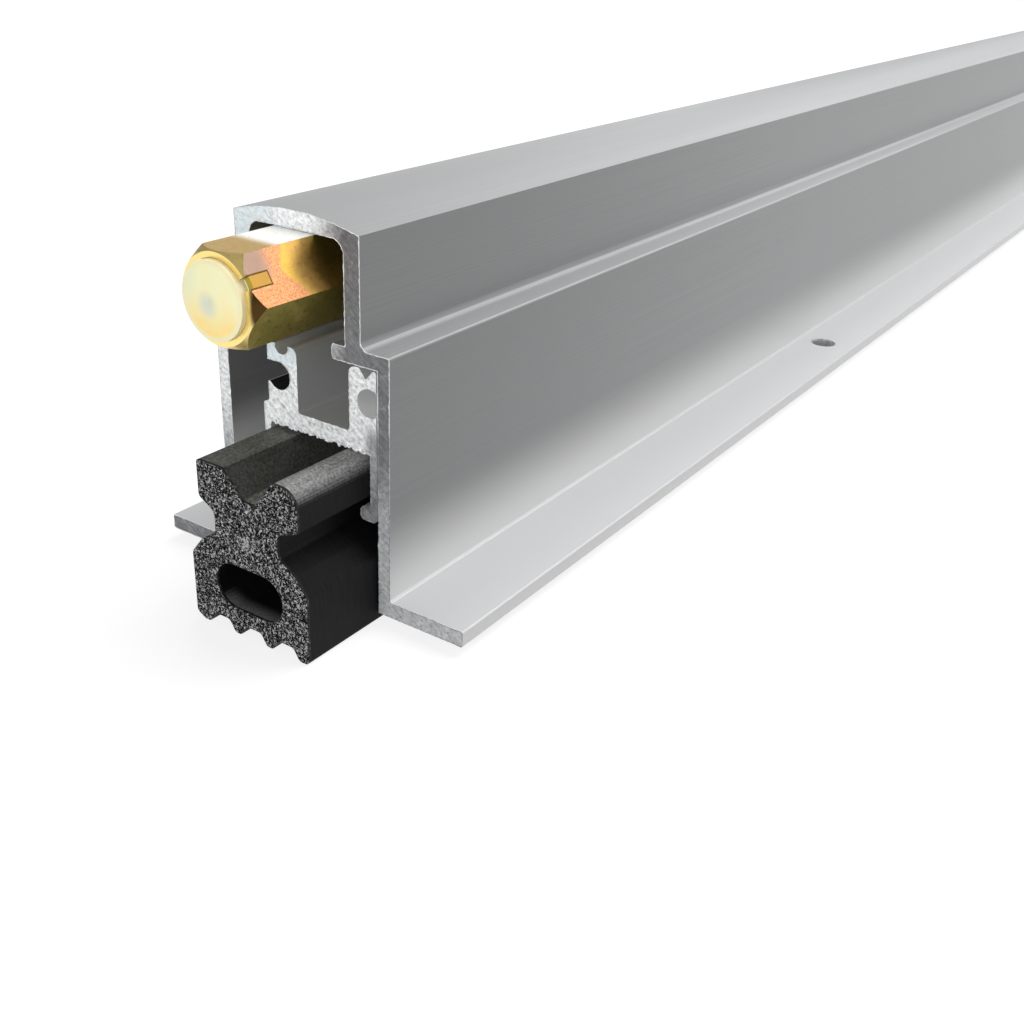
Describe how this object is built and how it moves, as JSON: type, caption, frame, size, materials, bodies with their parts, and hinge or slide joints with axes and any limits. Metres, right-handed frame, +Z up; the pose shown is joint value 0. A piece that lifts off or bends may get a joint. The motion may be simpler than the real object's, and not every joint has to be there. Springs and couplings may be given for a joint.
{
  "type": "automatic door bottom seal",
  "caption": "Mortised aluminium housing with side wings, whose end plunger pushes a rod that lowers a bar with a ribbed sponge seal to the floor.",
  "frame": {"origin": "middle of the whole part's box, level with the ribs under the seal", "axes": "+X along the housing away from the plunger, +Y across the door, +Z up from the floor towards the door"},
  "size_m": [0.622, 0.0444, 0.0443],
  "materials": {
    "satin_aluminium": "satin extruded",
    "mill_aluminium": "mill, saw cut ends",
    "white_nylon": "matte",
    "natural_nylon": "satin",
    "brass": "drawn and turned",
    "bright_steel": "drawn",
    "dark_steel": "black oxide",
    "spring_steel": "drawn",
    "zinc_steel": "zinc plated",
    "sponge_rubber": "matte skin, open cells at the cut end"
  },
  "bodies": {
    "case": {"housing": "satin_aluminium", "guide_block_near": "white_nylon", "guide_block_middle": "white_nylon", "guide_block_far": "white_nylon", "guide_block_screws": "dark_steel", "return_spring_near": "spring_steel", "return_spring_far": "spring_steel"},
    "rod": {"push_rod": "bright_steel", "plunger_hex": "brass", "plunger_tip": "natural_nylon", "slider_near": "bright_steel", "slider_far": "bright_steel", "lift_pin_near": "bright_steel", "lift_pin_far": "bright_steel", "pin_clips": "dark_steel", "slider_roll_pins": "dark_steel", "rod_collar": "bright_steel", "collar_roll_pin": "dark_steel", "spring_washers": "bright_steel"},
    "drop": {"drop_bar": "mill_aluminium", "seal_strip": "sponge_rubber", "lifter_near": "zinc_steel", "lifter_far": "zinc_steel", "lifter_rivets": "mill_aluminium", "guide_shoe_near": "white_nylon", "guide_shoe_far": "white_nylon"}
  },
  "joints": [
    {"name": "plunger_push", "type": "slide", "parent": "case", "child": "rod", "axis": [1, 0, 0], "range_m": [0, 0.009], "stiffness_N_per_m": 600, "springref_m": -0.01, "deforming": ["return_spring_near", "return_spring_far"]},
    {"name": "bar_drop", "type": "slide", "parent": "case", "child": "drop", "axis": [0, 0, -1], "range_m": [0, 0.009]}
  ],
  "couplings": [
    {"joint": "bar_drop", "follows": "plunger_push", "ratio": 1}
  ]
}
